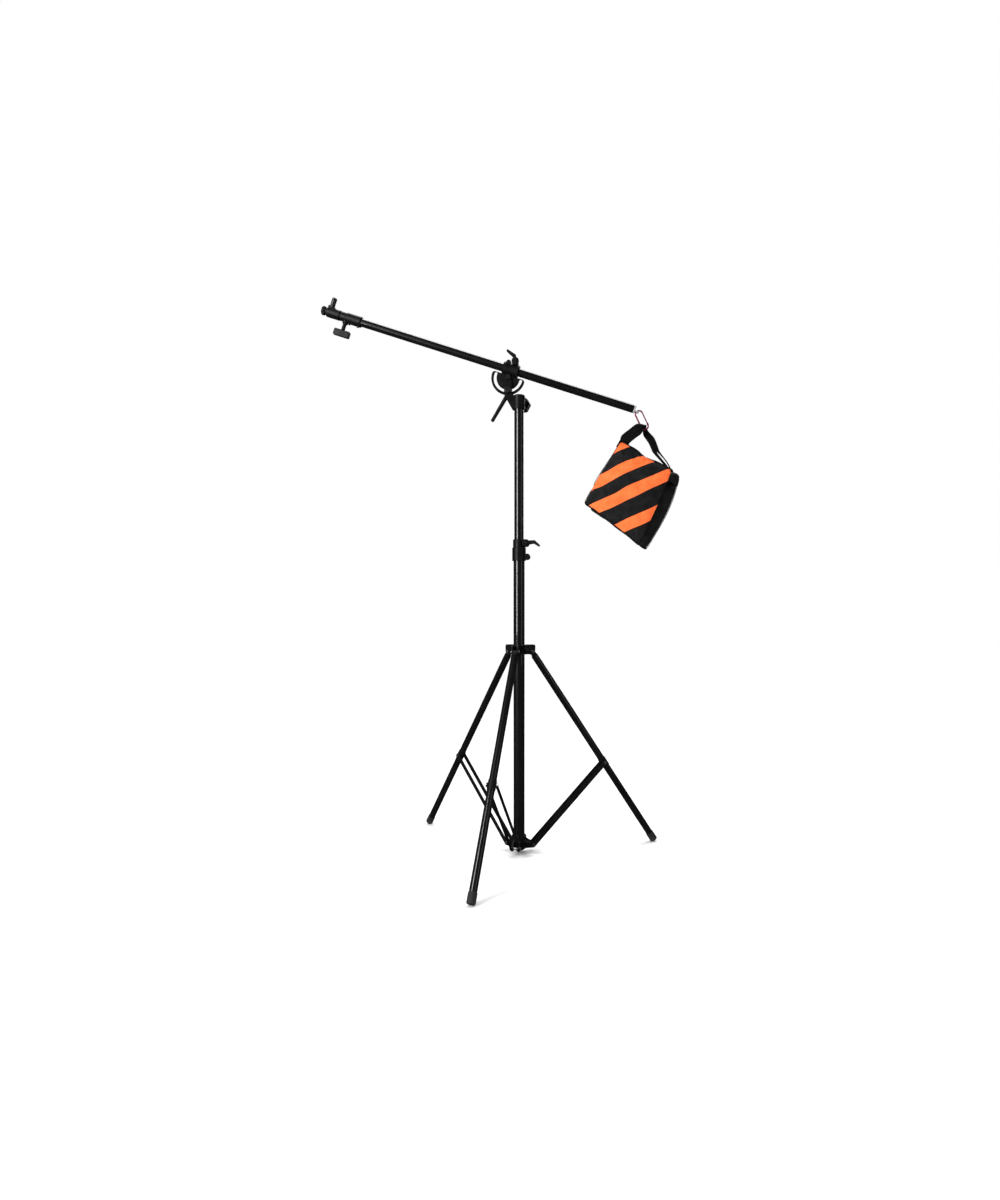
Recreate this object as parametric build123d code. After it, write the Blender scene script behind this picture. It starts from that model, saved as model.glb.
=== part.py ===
"""Boom light stand: a folding tripod, a two-tube column, a tilting boom with an inner tube and a
5/8 inch stud, and a sand bag that hangs from the tail of the boom as a counterweight.

Millimetres, +Z up. The origin is the point on the floor under the column's axis. The boom lies in
the XZ plane, with its tail and the bag towards +X and its tip towards -X.
"""

from build123d import *
from math import acos, atan2, cos, degrees, hypot, radians, sin
import os

# ---- driving dimensions ----
COLUMN_OD, COLUMN_WALL = 35.0, 1.5
MAST_OD, MAST_WALL = 30.0, 1.3
BOOM_OD, BOOM_WALL = 25.0, 1.2
LEG_OD, LEG_WALL = 22.0, 1.2
INNER_OD, INNER_WALL = 22.0, 1.0
RUN = 0.05                     # radial clearance of a running fit
GAP = 0.3                      # clearance between bodies that pass each other

# tripod
LEG_AZIMUTHS = {"right": 18.6, "left": 138.6, "front": -101.4}
HINGE_R, HINGE_Z = 42.4, 628.3
FOOT_R = 463.2                 # where a leg's centre line meets the floor
KNEE = 432.0                   # hinge to knee, along the leg
BRACE_PIN_R, BRACE_PIN_Z = 43.3, 22.0
FOLD_TRAVEL = 170.0            # rise of the leg collar from spread to folded
STRAP_W, STRAP_T, STRAP_IN = 14.0, 2.0, 12.7
KNOB_AZIMUTH = -41.0
COLLAR_BUSH_T = 2.7            # nylon bush between the leg collar and the column

# column and mast
PLUG_Z = 9.0
COLUMN_BOTTOM, COLUMN_TOP = 12.0, 940.0
BASE_COLLAR_Z = (14.0, 54.0)
LEG_COLLAR_Z = (620.3, 651.0)
MID_CLAMP_Z = (914.0, 955.0, 980.0)
MAST_BOTTOM, MAST_TOP = 440.0, 1425.0
SOCKET_Z = (1389.0, 1433.0)
SOCKET_R = 19.0
HEAD_KNOB_AZIMUTH = 71.0

# clamping levers and pinch bolts: x, z of the axes, which run along Y
MID_LEVER, MID_PINCH = (23.0, 967.0), (26.0, 926.0)
BOOM_LEVER, BOOM_PINCH = (8.6, 49.6), (-12.0, 43.5)
LEVER_Y = (-29.5, -17.3)
LEVER_FRONT = -LEVER_Y[1] - GAP   # how far the ears reach forward, under the lever and at the pinch bolt
PINCH_FRONT = 12.0
EAR_BACK, NUT_R = 8.0, 6.0
LINER_R = 15.0                 # outside of the boom clamp's liner

# head and tilt joint
PIVOT = (-34.4, 1488.6)        # x and z of the tilt pivot
TILT = 18.85                   # slope of the boom, tip up
SLOT_R, SLOT_W, SLOT_HALF_ANGLE = 41.0, 9.0, 94.0
ARC_R, ARC_TOP, ARC_T = 53.0, 8.0, 6.0
CHEEK_IN, CHEEK_OUT = 4.0, 10.0
CLAMP_BOLT_R = 4.0

# boom, in the boom's own frame: u along it to the tail, w square to it and up, from the pivot
BOOM_W = 26.5                  # height of the boom's axis over the tilt pivot
TAIL_U, TUBE_TIP_U = 405.0, -548.0
BOOM_COLLAR_U = (-575.0, -553.0, -503.0)
T_KNOB_U = -555.0
INNER_TAIL_U, INNER_TIP_U = 290.0, -590.0
TIP_BLOCK_U = (-622.0, -576.0)
STUD_U, STUD_R, STUD_TOP = -612.0, 7.94, 48.0

# carabiner and bag
EYE_U, EYE_DROP = 421.0, 6.0   # eye bar, past the pivot and below the boom's axis
EYE_HALF_W, EYE_WIRE_R = 5.5, 2.25
RING_WIRE_R = 2.5
RING_W, RING_L = 22.0, 63.0    # centre line of the carabiner's loop
RING_LEAN = 25.0
POUCH_T = 44.0
POUCH_GAP = 6.0
POUCH_TAPER = 42.0
WEBBING_T, WEBBING_Y = 3.0, 11.5   # strap thickness, and each strap's distance from the XZ plane
BUNCH_R = 5.0                  # the webbing bunched where it crosses the carabiner

# ---- values that follow ----
LEG_LEAN = degrees(atan2(FOOT_R - HINGE_R, HINGE_Z))
KNEE_R = HINGE_R + KNEE * sin(radians(LEG_LEAN))
KNEE_Z = HINGE_Z - KNEE * cos(radians(LEG_LEAN))
BRACE_LEAN = degrees(atan2(KNEE_R - BRACE_PIN_R, KNEE_Z - BRACE_PIN_Z))
BRACE_L = hypot(KNEE_R - BRACE_PIN_R, KNEE_Z - BRACE_PIN_Z)


def fold_angles():
    """Lean of a leg and of a brace from the vertical when the leg collar is up, in degrees."""
    dr, dz = HINGE_R - BRACE_PIN_R, HINGE_Z + FOLD_TRAVEL - BRACE_PIN_Z
    span = hypot(dr, dz)
    at_hinge = degrees(acos((KNEE**2 + span**2 - BRACE_L**2) / (2 * KNEE * span)))
    at_pin = degrees(acos((BRACE_L**2 + span**2 - KNEE**2) / (2 * BRACE_L * span)))
    slope = degrees(atan2(-dr, dz))
    return at_hinge + slope, at_pin - slope


BOTTOM = (Align.CENTER, Align.CENTER, Align.MIN)
NODES = {}


def keep(name, *solids):
    """Name the solids of one sub-part."""
    NODES[name] = [solid for shape in solids for solid in shape.solids()]


def rod(radius, z0, z1):
    """A cylinder along Z between two heights."""
    return Pos(0, 0, z0) * Cylinder(radius, z1 - z0, align=BOTTOM)


def pipe(outer, inner, z0, z1):
    """A hollow cylinder along Z between two heights."""
    return rod(outer, z0, z1) - rod(inner, z0 - 1, z1 + 1)


def along_y(shape):
    """Turn a shape made along Z so that its +Z points to +Y."""
    return Rot(-90, 0, 0) * shape


def along_x(shape):
    """Turn a shape made along Z so that its +Z points to +X."""
    return Rot(0, 90, 0) * shape


def outline(points):
    """A flat face in the XZ plane from its corner points."""
    return Plane.XZ * make_face(Polyline(*points, close=True).edges())


def slab(points, y0, y1):
    """A plate with an outline in the XZ plane, between two values of y."""
    return Pos(0, y1, 0) * extrude(outline(points), y1 - y0, dir=(0, -1, 0))


def edges_along(shape, axis):
    """The straight edges of a shape that run along an axis."""
    return shape.edges().filter_by(GeomType.LINE).filter_by(axis)


def at_azimuth(azimuth, radius=0.0, z=0.0):
    """Frame with X pointing outward and Y tangential, at an azimuth about the column."""
    return Rot(0, 0, azimuth) * Pos(radius, 0, z)


def pin_with_heads(radius, half_length, head_r, head_t):
    """A pin along Y with a head at each end."""
    pin = rod(radius, -half_length, half_length)
    head = chamfer(rod(head_r, half_length, half_length + head_t).edges().group_by(Axis.Z)[-1], 0.6)
    return along_y(pin + head + mirror(head, about=Plane.XY))


def wing_knob(span, height, thickness, stem_r, stem_l, screw_r, screw_l):
    """Screw with a flat T handle, along +Z from its seat at z = 0; the handle lies along X."""
    wing = Pos(0, 0, stem_l) * Box(span, thickness, height, align=BOTTOM)
    wing = fillet(edges_along(wing, Axis.Y), height * 0.2)
    wing = fillet(wing.faces().filter_by(Axis.Y).edges(), thickness * 0.2)
    hub = rod(stem_r, 0, stem_l + height * 0.9)
    hub = chamfer(hub.edges().group_by(Axis.Z)[-1], 1.5)
    return wing + hub + rod(screw_r, -screw_l, 1)


def wing_lever(hub, elbow, tip):
    """Cranked clamping lever in the XZ plane on a screw along Y; hub, elbow and tip are x, z points."""
    y0, y1 = LEVER_Y

    def across(a, b, half):
        length = hypot(b[0] - a[0], b[1] - a[1])
        return -(b[1] - a[1]) / length * half, (b[0] - a[0]) / length * half

    near, far = across(hub, elbow, 7.0), across(elbow, tip, 3.0)
    bend = across(hub, tip, 5.5)
    points = [
        (hub[0] + near[0], hub[1] + near[1]),
        (elbow[0] + bend[0], elbow[1] + bend[1]),
        (tip[0] + far[0], tip[1] + far[1]),
        (tip[0] - far[0], tip[1] - far[1]),
        (elbow[0] - bend[0], elbow[1] - bend[1]),
        (hub[0] - near[0], hub[1] - near[1]),
    ]
    blade = fillet(edges_along(slab(points, y0 + 1.0, y1 - 3.0), Axis.Y), 2.0)
    disc = Pos(hub[0], 0, hub[1]) * along_y(rod(11.5, y0, y1))
    disc = fillet(disc.edges().filter_by(GeomType.CIRCLE), 1.5)
    bore = Pos(hub[0], 0, hub[1]) * along_y(rod(3 + RUN, y0 - 1, y1 + 1))
    return blade + disc - bore


def clamp_ears(at, ear_r, web, front):
    """Two round ears beside a slit at y = 0, the front one as far as y = -front, with their webs.

    The bolt's axis runs along Y through at, an x, z point, and web is an outline in the XZ plane.
    """
    ears = Pos(at[0], 0, at[1]) * along_y(rod(ear_r, -front, -1.5) + rod(ear_r, 1.5, EAR_BACK))
    return ears + slab(web, -EAR_BACK, -1.5) + slab(web, 1.5, EAR_BACK)


def ear_hole(at, front, seat_r):
    """What a bolt takes out of a clamp: its hole, the seat of its head and the seat of its nut."""
    hole = rod(3.0, -40, 20) + rod(seat_r, -40, -front) + rod(NUT_R + 0.4, EAR_BACK, 40)
    return Pos(at[0], 0, at[1]) * along_y(hole)


def ear_bolt(at, front, head_r):
    """Bolt through a pair of clamp ears, with its head in front and its nut behind."""
    bolt = chamfer(rod(head_r, -front - 5, -front).edges().group_by(Axis.Z)[0], 1.0)
    bolt += rod(3.0, -front, EAR_BACK) + extrude(Pos(0, 0, EAR_BACK) * RegularPolygon(NUT_R, 6), 4.5)
    return Pos(at[0], 0, at[1]) * along_y(bolt - rod(2.5, -front - 6, -front - 2.5))


def lever_stud(at):
    """Screw that a clamping lever turns on, with its end cap in front and its nut behind."""
    stud = rod(3.0, LEVER_Y[0] - 1, EAR_BACK) + rod(5.0, LEVER_Y[0] - 3.5, LEVER_Y[0] - GAP)
    stud += extrude(Pos(0, 0, EAR_BACK) * RegularPolygon(NUT_R, 6), 4.5)
    return Pos(at[0], 0, at[1]) * along_y(stud)


# ---- column, base collar and mid clamp ----
def make_column():
    r, bore = COLUMN_OD / 2, COLUMN_OD / 2 - COLUMN_WALL
    keep("lower_column", pipe(r, bore, COLUMN_BOTTOM, COLUMN_TOP))
    cap = chamfer(rod(r, PLUG_Z, COLUMN_BOTTOM).edges().group_by(Axis.Z)[0], 1.0)
    keep("column_end_plug", cap + pipe(bore - 0.1, bore - 3, COLUMN_BOTTOM, COLUMN_BOTTOM + 20))

    low, high = BASE_COLLAR_Z
    ring = chamfer(rod(23.0, low, high).edges().filter_by(GeomType.CIRCLE), 1.0)
    profile = [(18, low), (BRACE_PIN_R + 2, low), (BRACE_PIN_R + 8, BRACE_PIN_Z - 3),
               (BRACE_PIN_R + 8, BRACE_PIN_Z + 4), (BRACE_PIN_R, BRACE_PIN_Z + 8), (18, high - 8)]
    for azimuth in LEG_AZIMUTHS.values():
        for y0, y1 in ((-12.4, -7.4), (7.4, 12.4)):
            ring += at_azimuth(azimuth) * slab(profile, y0, y1)
    ring += at_azimuth(KNOB_AZIMUTH, z=36) * along_x(rod(8, 18, 29))
    for azimuth in LEG_AZIMUTHS.values():
        ring -= at_azimuth(azimuth, BRACE_PIN_R, BRACE_PIN_Z) * along_y(rod(3.0, -20, 20))
    ring -= at_azimuth(KNOB_AZIMUTH, z=36) * along_x(rod(3 + RUN, 10, 40))
    keep("base_collar", ring - rod(r + 0.02, low - 1, high + 1))

    pins = [at_azimuth(a, BRACE_PIN_R, BRACE_PIN_Z) * pin_with_heads(3.0, 14.9, 5.2, 2.6)
            for a in LEG_AZIMUTHS.values()]
    keep("brace_pins", *pins)


def make_mid_clamp():
    low, step, high = MID_CLAMP_Z
    body = rod(21.5, low, step) + rod(19.0, step, high)
    body = chamfer(body.edges().filter_by(GeomType.CIRCLE), 0.8)
    for at, half, front in ((MID_LEVER, 9.5, LEVER_FRONT), (MID_PINCH, 9.0, PINCH_FRONT)):
        x, z = at
        web = [(12, z - half), (x, z - half), (x, z + half), (12, z + half)]
        body += clamp_ears(at, 9.5, web, front)
    body -= ear_hole(MID_PINCH, PINCH_FRONT, 9.2) + ear_hole(MID_LEVER, LEVER_FRONT, 9.5)
    body -= rod(COLUMN_OD / 2 + 0.02, low - 1, COLUMN_TOP) + rod(16.5, COLUMN_TOP - 1, high + 1)
    body -= Pos(25, 0, (low + high) / 2) * Box(40, 3, high - low + 2)
    keep("mid_clamp", body)
    liner = pipe(16.45, MAST_OD / 2 + 0.08, COLUMN_TOP + 0.2, high + 1.5)
    keep("mid_clamp_liner", liner - Pos(20, 0, 960) * Box(20, 2, 60))
    keep("mid_clamp_bolts", ear_bolt(MID_PINCH, PINCH_FRONT, 8.5), lever_stud(MID_LEVER))
    keep("mid_clamp_lever", wing_lever(MID_LEVER, (49, 970), (66, 957)))


# ---- legs, leg collar and braces ----
def make_leg_collar():
    low, high = LEG_COLLAR_Z
    ring = chamfer(rod(24.0, low, high).edges().filter_by(GeomType.CIRCLE), 1.0)
    ear = [(20, low), (HINGE_R, low), (HINGE_R + 7, low + 4), (HINGE_R + 8, high - 6),
           (HINGE_R + 6, high), (20, high)]
    for azimuth in LEG_AZIMUTHS.values():
        for y0, y1 in ((-11.2, -6.3), (6.3, 11.2)):
            ring += at_azimuth(azimuth) * slab(ear, y0, y1)
        ring += at_azimuth(azimuth) * slab([(20, high - 4), (46, high - 4), (46, high), (20, high)], -7, 7)
    ring += at_azimuth(KNOB_AZIMUTH, z=636) * along_x(rod(8, 18, 31))
    for azimuth in LEG_AZIMUTHS.values():
        ring -= at_azimuth(azimuth, HINGE_R, HINGE_Z) * along_y(rod(3.0, -20, 20))
    ring -= at_azimuth(KNOB_AZIMUTH, z=636) * along_x(rod(3 + RUN, 10, 40))
    bore = COLUMN_OD / 2 + GAP
    keep("leg_collar", ring - rod(bore + COLLAR_BUSH_T, low - 1, high + 1))
    bush = pipe(bore + COLLAR_BUSH_T - 0.02, bore, low + 0.5, high - 0.5)
    keep("leg_collar_bush", bush - at_azimuth(KNOB_AZIMUTH, z=636) * along_x(rod(3.2, 10, 40)))
    pins = [at_azimuth(a, HINGE_R, HINGE_Z) * pin_with_heads(3.0, 11.2, 5.0, 2.4)
            for a in LEG_AZIMUTHS.values()]
    keep("leg_hinge_pins", *pins)
    for name, z, seat, turn in (("leg_collar_knob", 636, 31.3, 35), ("base_collar_knob", 36, 29.3, 60)):
        knob = wing_knob(36, 13, 5, 6.5, 8, 3.0, seat - COLUMN_OD / 2 - GAP)
        keep(name, at_azimuth(KNOB_AZIMUTH, seat, z) * along_x(Rot(0, 0, turn) * knob))


def make_leg(side, azimuth):
    """A leg hangs along -Z from its hinge in its own frame, and leans outward by LEG_LEAN."""
    frame = at_azimuth(azimuth, HINGE_R, HINGE_Z) * Rot(0, -LEG_LEAN, 0)
    r, cap_r, edge = LEG_OD / 2, LEG_OD / 2 + 1.4, 4.0
    lean = radians(LEG_LEAN)
    # the worn flat of the cap is cut 0.4 mm above the lowest point of its rounded edge
    end_z = (cap_r - edge) * sin(lean) + edge - edge * cos(lean) - 0.4
    end = (HINGE_Z - end_z) / cos(lean)
    keep(f"leg_tube_{side}", frame * pipe(r, r - LEG_WALL, -(end - 9), -14))
    tang = slab([(-7.5, 0), (7.5, 0), (7.5, -17), (-7.5, -17)], -6, 6) + along_y(rod(8, -6, 6))
    fitting = tang + rod(r - LEG_WALL - 0.1, -48, -16) - along_y(rod(3 + RUN, -9, 9))
    keep(f"leg_fitting_{side}", frame * fitting)
    keep(f"brace_clip_{side}", frame * pipe(LEG_OD / 2 + 1.4, r + 0.02, -KNEE - 15, -KNEE + 15))
    cap = rod(cap_r, -end, -end + 30)
    cap = fillet(cap.edges().group_by(Axis.Z)[0], edge)
    cap = chamfer(cap.edges().group_by(Axis.Z)[-1], 0.8)
    cap -= rod(r + 0.02, -end + 9, -end + 31)
    cap = frame * cap
    keep(f"foot_cap_{side}", cap - Pos(0, 0, -10) * Box(1200, 1200, 20))


def make_brace(side, azimuth):
    """Two flat straps from the base collar's pin to the knee, with a rivet head outside each."""
    frame = at_azimuth(azimuth, BRACE_PIN_R, BRACE_PIN_Z) * Rot(0, BRACE_LEAN, 0)
    straps, rivets = [], []
    for sign in (-1, 1):
        y0, y1 = sorted((sign * STRAP_IN, sign * (STRAP_IN + STRAP_T)))
        strap = Pos(0, y1, BRACE_L / 2) * extrude(
            Plane.XZ * Rot(0, 0, 90) * SlotCenterToCenter(BRACE_L, STRAP_W), STRAP_T, dir=(0, -1, 0))
        strap -= along_y(rod(3 + RUN, -30, 30))
        strap -= Pos(0, 0, BRACE_L) * along_y(rod(3.0, -30, 30))
        straps.append(frame * strap)
        outer = sorted((sign * (STRAP_IN + STRAP_T), sign * (STRAP_IN + STRAP_T + 2.6)))
        rivet = rod(3.0, y0 + 0.05 * (sign > 0), y1 - 0.05 * (sign < 0)) + rod(5.2, *outer)
        rivets.append(frame * Pos(0, 0, BRACE_L) * along_y(rivet))
    keep(f"brace_straps_{side}", *straps)
    keep(f"brace_rivets_{side}", *rivets)


# ---- mast, head socket and tilt lock ----
def make_mast():
    r, bore = MAST_OD / 2, MAST_OD / 2 - MAST_WALL
    keep("upper_column", pipe(r, bore, MAST_BOTTOM, MAST_TOP))
    flange = pipe(COLUMN_OD / 2 - COLUMN_WALL - 0.15, 8, MAST_BOTTOM - 12, MAST_BOTTOM)
    keep("upper_column_bush", flange + pipe(bore - 0.1, 8, MAST_BOTTOM, MAST_BOTTOM + 25))


def make_head():
    low, high = SOCKET_Z
    socket = rod(SOCKET_R, low, high)
    socket = fillet(socket.edges().group_by(Axis.Z)[-1], 4.0)
    for z in (1400, 1411, 1422):
        socket -= pipe(SOCKET_R + 1, SOCKET_R - 1.2, z - 1, z + 1)
    knob_frame = at_azimuth(HEAD_KNOB_AZIMUTH, 0, (low + high) / 2)
    socket += knob_frame * along_x(rod(9, 12, 22))
    socket -= rod(MAST_OD / 2 + RUN, low - 1, MAST_TOP + 0.5)
    keep("head_socket", socket - knob_frame * along_x(rod(3 + RUN, 0, 30)))

    px, pz = PIVOT
    arm = slab([(-12, low), (-20, low), (-47, 1437), (-46, 1462), (px - 9.5, pz), (px + 9.5, pz),
                (px + 12, 1462), (px + 12, 1441), (-12, high)], -CHEEK_OUT, CHEEK_OUT)
    arm += Pos(px, 0, pz) * along_y(rod(9.5, -CHEEK_OUT, CHEEK_OUT))
    arm -= Pos(px, 0, pz) * along_y(rod(ARC_R + 1.5, -CHEEK_IN, CHEEK_IN))
    arm -= Pos(px, 0, pz) * along_y(rod(5.0, -30, 30))
    arm -= Pos(px, 0, pz - SLOT_R) * along_y(rod(CLAMP_BOLT_R, -30, 30))
    keep("head_bracket", arm - rod(SOCKET_R, low - 5, high + 5))

    pivot = rod(5.0, -CHEEK_OUT, CHEEK_OUT) + rod(8, -CHEEK_OUT - 4.5, -CHEEK_OUT)
    pivot += rod(8, CHEEK_OUT, CHEEK_OUT + 2.5)
    hub = fillet(rod(10.5, -CHEEK_OUT - 9, -CHEEK_OUT).edges().group_by(Axis.Z)[0], 2.0)
    bolt = rod(CLAMP_BOLT_R, -CHEEK_OUT - 1, CHEEK_OUT + 17) + hub
    keep("tilt_bolts", Pos(px, 0, pz) * along_y(pivot), Pos(px, 0, pz - SLOT_R) * along_y(bolt))

    lever = fillet(rod(11, CHEEK_OUT + 0.4, CHEEK_OUT + 16).edges(), 1.5)
    lever = Pos(px, 0, pz - SLOT_R) * along_y(lever)
    handle = Cone(6.8, 5.4, 100, align=BOTTOM)
    handle = fillet(handle.edges().group_by(Axis.Z)[-1], 3.0)
    lever += Pos(px, CHEEK_OUT + 8.4, pz - SLOT_R) * Rot(0, 180 + 30.7, 0) * Pos(0, 0, 4) * handle
    bore = Pos(px, 0, pz - SLOT_R) * along_y(rod(CLAMP_BOLT_R + RUN, 0, 40))
    keep("tilt_lever", lever - bore)

    grip = extrude(RegularPolygon(24.5, 6), 17)
    grip = fillet(edges_along(grip, Axis.Z), 4.0)
    grip = chamfer(grip.faces().sort_by(Axis.Z)[-1].edges(), 1.5)
    knob = grip + rod(10, -3, 1) + rod(3.0, -8, 0)
    keep("head_lock_knob", knob_frame * Pos(25.5, 0, 0) * along_x(Rot(0, 0, 30) * knob))


# ---- boom: all made level in the boom's frame, then tilted ----
def boom_frame():
    return Pos(PIVOT[0], 0, PIVOT[1]) * Rot(0, TILT, 0)


def make_arc():
    plate = along_y(rod(ARC_R, -ARC_T / 2, ARC_T / 2)) & slab(
        [(-60, -60), (60, -60), (60, 0), (-60, 0)], -4, 4)
    upper = slab([(-ARC_R, -1), (ARC_R, -1), (ARC_R, ARC_TOP), (-ARC_R, ARC_TOP)], -ARC_T / 2, ARC_T / 2)
    upper = fillet(edges_along(upper, Axis.Y).group_by(Axis.Z)[-1], 7.5)
    plate += upper + slab([(-21, 0), (21, 0), (21, 10), (-21, 10)], -ARC_T / 2, ARC_T / 2)
    plate += along_y(rod(9.0, -CHEEK_IN + 0.1, CHEEK_IN - 0.1)) - along_y(rod(5 + RUN, -9, 9))
    half = SLOT_HALF_ANGLE
    mid = Plane.XZ * CenterArc((0, 0), SLOT_R, 270 - half, 2 * half)
    slot = extrude(make_face(offset(mid, SLOT_W / 2).edges()), 8, dir=(0, 1, 0), both=True)
    return plate - slot - along_y(rod(5 + RUN, -9, 9))


def make_boom_clamp():
    ring = Pos(0, 0, BOOM_W) * along_x(rod(20.0, -25.5, 25.5))
    ring = chamfer(ring.edges().filter_by(GeomType.CIRCLE), 1.2)
    ring -= Box(80, 60, 20)
    for at, ear_r, front in ((BOOM_LEVER, 9.5, LEVER_FRONT), (BOOM_PINCH, 8.0, PINCH_FRONT)):
        u, w = at
        web = [(u - ear_r, BOOM_W + 12), (u + ear_r, BOOM_W + 12), (u + ear_r, w), (u - ear_r, w)]
        ring += clamp_ears(at, ear_r, web, front)
    ring -= ear_hole(BOOM_PINCH, PINCH_FRONT, 8.2) + ear_hole(BOOM_LEVER, LEVER_FRONT, 9.5)
    ring -= Pos(0, 0, BOOM_W) * along_x(rod(LINER_R + 0.05, -30, 30))
    ring -= Pos(0, 0, BOOM_W + 30) * Box(80, 3, 60)
    liner = Pos(0, 0, BOOM_W) * along_x(pipe(LINER_R, BOOM_OD / 2 + 0.08, -26.5, 26.5))
    liner -= Pos(0, 0, BOOM_W + 15) * Box(80, 2, 30) + ear_hole(BOOM_PINCH, PINCH_FRONT, 8.2)
    frame = boom_frame()
    bolt, stud = ear_bolt(BOOM_PINCH, PINCH_FRONT, 7.5), lever_stud(BOOM_LEVER)
    keep("arc_plate", frame * make_arc())
    keep("boom_clamp", frame * ring)
    keep("boom_clamp_liner", frame * liner)
    keep("boom_clamp_bolts", frame * bolt, frame * stud)
    keep("boom_clamp_lever", frame * wing_lever(BOOM_LEVER, (1.3, 63.5), (-26.8, 73.7)))


def make_boom():
    frame = boom_frame() * Pos(0, 0, BOOM_W)
    r, bore = BOOM_OD / 2, BOOM_OD / 2 - BOOM_WALL
    keep("boom_tube", frame * along_x(pipe(r, bore, TUBE_TIP_U, TAIL_U)))

    tip, step, end = BOOM_COLLAR_U
    collar = rod(16.5, step, end) + rod(14.5, tip, step)
    collar = chamfer(collar.edges().group_by(Axis.Z)[-1], 3.0)
    collar = chamfer(collar.edges().group_by(Axis.Z)[0], 1.2)
    collar = along_x(collar) + Pos(T_KNOB_U, 0, 0) * rod(9, -20, -8)
    collar -= along_x(rod(r + 0.02, TUBE_TIP_U, end + 1) + rod(INNER_OD / 2 + 0.1, tip - 1, end))
    collar -= Pos(T_KNOB_U, 0, 0) * rod(3 + RUN, -30, 0)
    rivets = []
    for u in (-541.0, -512.0):
        rivets.append(frame * Pos(u, 0, 0) * (rod(3.5, -19, -15) - along_x(rod(16.5, -20, 20))))
    keep("boom_collar", frame * collar)
    keep("boom_collar_rivets", *rivets)

    knob = wing_knob(54, 21, 13, 6.0, 21, 3.0, 20.3 - INNER_OD / 2 - GAP)
    keep("tip_t_knob", frame * Pos(T_KNOB_U, 0, -20.3) * Rot(180, 0, 0) * knob)

    plug = chamfer(rod(r, TAIL_U, TAIL_U + 5).edges().group_by(Axis.Z)[-1], 1.0)
    plug = along_x(plug + rod(bore - 0.1, TAIL_U - 30, TAIL_U))
    bend, root = 3.0, TAIL_U - 12
    leg_one = Line((root, EYE_HALF_W, 0), (EYE_U - bend, EYE_HALF_W, 0))
    path = FilletPolyline((root, EYE_HALF_W, 0), (EYE_U, EYE_HALF_W, 0), (EYE_U, -EYE_HALF_W, 0),
                          (root, -EYE_HALF_W, 0), radius=bend)
    staple = sweep(Plane(leg_one @ 0, z_dir=leg_one % 0) * Circle(EYE_WIRE_R), path=path)
    staple = Pos(0, 0, -EYE_DROP) * staple
    for y in (-EYE_HALF_W, EYE_HALF_W):
        plug -= Pos(0, y, -EYE_DROP) * along_x(rod(EYE_WIRE_R, root, TAIL_U + 10))
    keep("tail_plug", frame * plug)
    keep("tail_eye", frame * staple)


def make_inner_boom():
    frame = boom_frame() * Pos(0, 0, BOOM_W)
    r, bore = INNER_OD / 2, INNER_OD / 2 - INNER_WALL
    keep("inner_tube", frame * along_x(pipe(r, bore, INNER_TIP_U, INNER_TAIL_U)))
    bush = rod(BOOM_OD / 2 - BOOM_WALL - 0.08, INNER_TAIL_U, INNER_TAIL_U + 8)
    keep("inner_tube_bush", frame * along_x(bush + rod(bore - 0.1, INNER_TAIL_U - 25, INNER_TAIL_U)))

    low, high = TIP_BLOCK_U
    block = rod(15.5, low, high)
    block = chamfer(block.edges().group_by(Axis.Z)[-1], 2.0)
    block = fillet(block.edges().group_by(Axis.Z)[0], 3.0)
    block += rod(10.0, low - 6, low)
    seat = Pos(STUD_U, 0, 0) * (Pos(0, 0, 8) * Box(20, 22, 11.5, align=BOTTOM))
    seat = fillet(edges_along(seat, Axis.Z), 4.0)
    block = along_x(block) + seat - along_x(rod(r + 0.02, INNER_TIP_U, high + 1))
    block -= Pos(STUD_U, 0, 0) * rod(5.0, 0, 30)
    keep("tip_block", frame * (block - along_x(rod(4 + RUN, low - 7, low + 6))))

    stud = rod(STUD_R, 19.5, STUD_TOP)
    stud = fillet(stud.edges().group_by(Axis.Z)[-1], 3.0)
    stud = stud + rod(5.0, 2, 20) - pipe(STUD_R + 1, STUD_R - 1.6, 21.5, 23.5)
    keep("stud", frame * Pos(STUD_U, 0, 0) * stud)

    knob = rod(14.0, low - 17, low - 6.4)
    knob = fillet(knob.edges(), 3.0)
    for turn in range(0, 360, 45):
        knob -= Rot(0, 0, turn) * Pos(15.5, 0, 0) * rod(3.0, low - 20, low)
    keep("tip_end_knob", frame * along_x(knob + rod(4.0, low - 8, low + 5)))


# ---- carabiner and bag ----
def ring_frame():
    """Origin on the eye bar's axis, +Z up the carabiner's long axis, in the XZ plane."""
    bar = boom_frame() * Pos(EYE_U, 0, BOOM_W - EYE_DROP)
    x, _, z = bar.position
    return Pos(x, 0, z) * Rot(0, -RING_LEAN, 0)


TOP_BEND = RING_W / 2 - RING_WIRE_R - EYE_WIRE_R - GAP     # eye bar over the top bend's centre
LOW_BEND = TOP_BEND + RING_L - RING_W                      # eye bar over the bottom bend's centre
GATE_HINGE, GATE_END = LOW_BEND - 3.0, TOP_BEND + 1.0


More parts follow.
